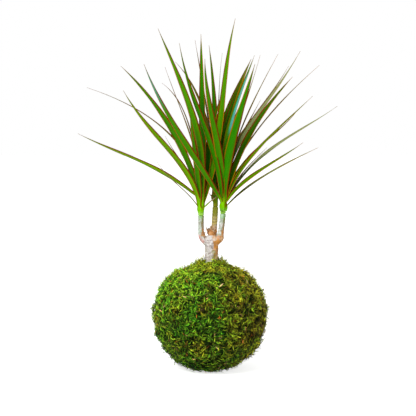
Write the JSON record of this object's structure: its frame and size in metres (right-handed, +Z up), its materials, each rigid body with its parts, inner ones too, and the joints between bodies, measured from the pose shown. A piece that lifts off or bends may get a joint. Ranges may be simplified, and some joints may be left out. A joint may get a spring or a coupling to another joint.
{
  "type": "kokedama moss ball plant",
  "caption": "Round moss-covered soil ball with a small dragon tree: a stubby pale trunk, thin canes and crowns of long narrow red-edged leaves.",
  "frame": {"origin": "centre of the flat spot under the moss ball, where the plant rests", "axes": "+Z up along the trunk, +X to the right seen from the front, the front faces -Y"},
  "size_m": [0.2551, 0.117, 0.351],
  "materials": {
    "moss": "soft matted moss of short tangled sprigs, yellow-green to dark olive",
    "soil": "crumbly dark brown potting soil, matte",
    "roots": "pale brown matted roots, matte",
    "thread": "thin dark green twisted thread",
    "bark": "pale grey-tan bark with ring scars, rough",
    "leaf": "smooth mid green blade with a narrow red-brown margin, satin"
  },
  "bodies": {
    "root": {"moss_cover": "moss", "soil_ball": "soil", "root_ball": "roots", "binding_thread": "thread", "woody_stem": "bark", "leaf_crown_left": "leaf", "leaf_crown_right": "leaf", "leaf_crown_back": "leaf"}
  },
  "joints": []
}
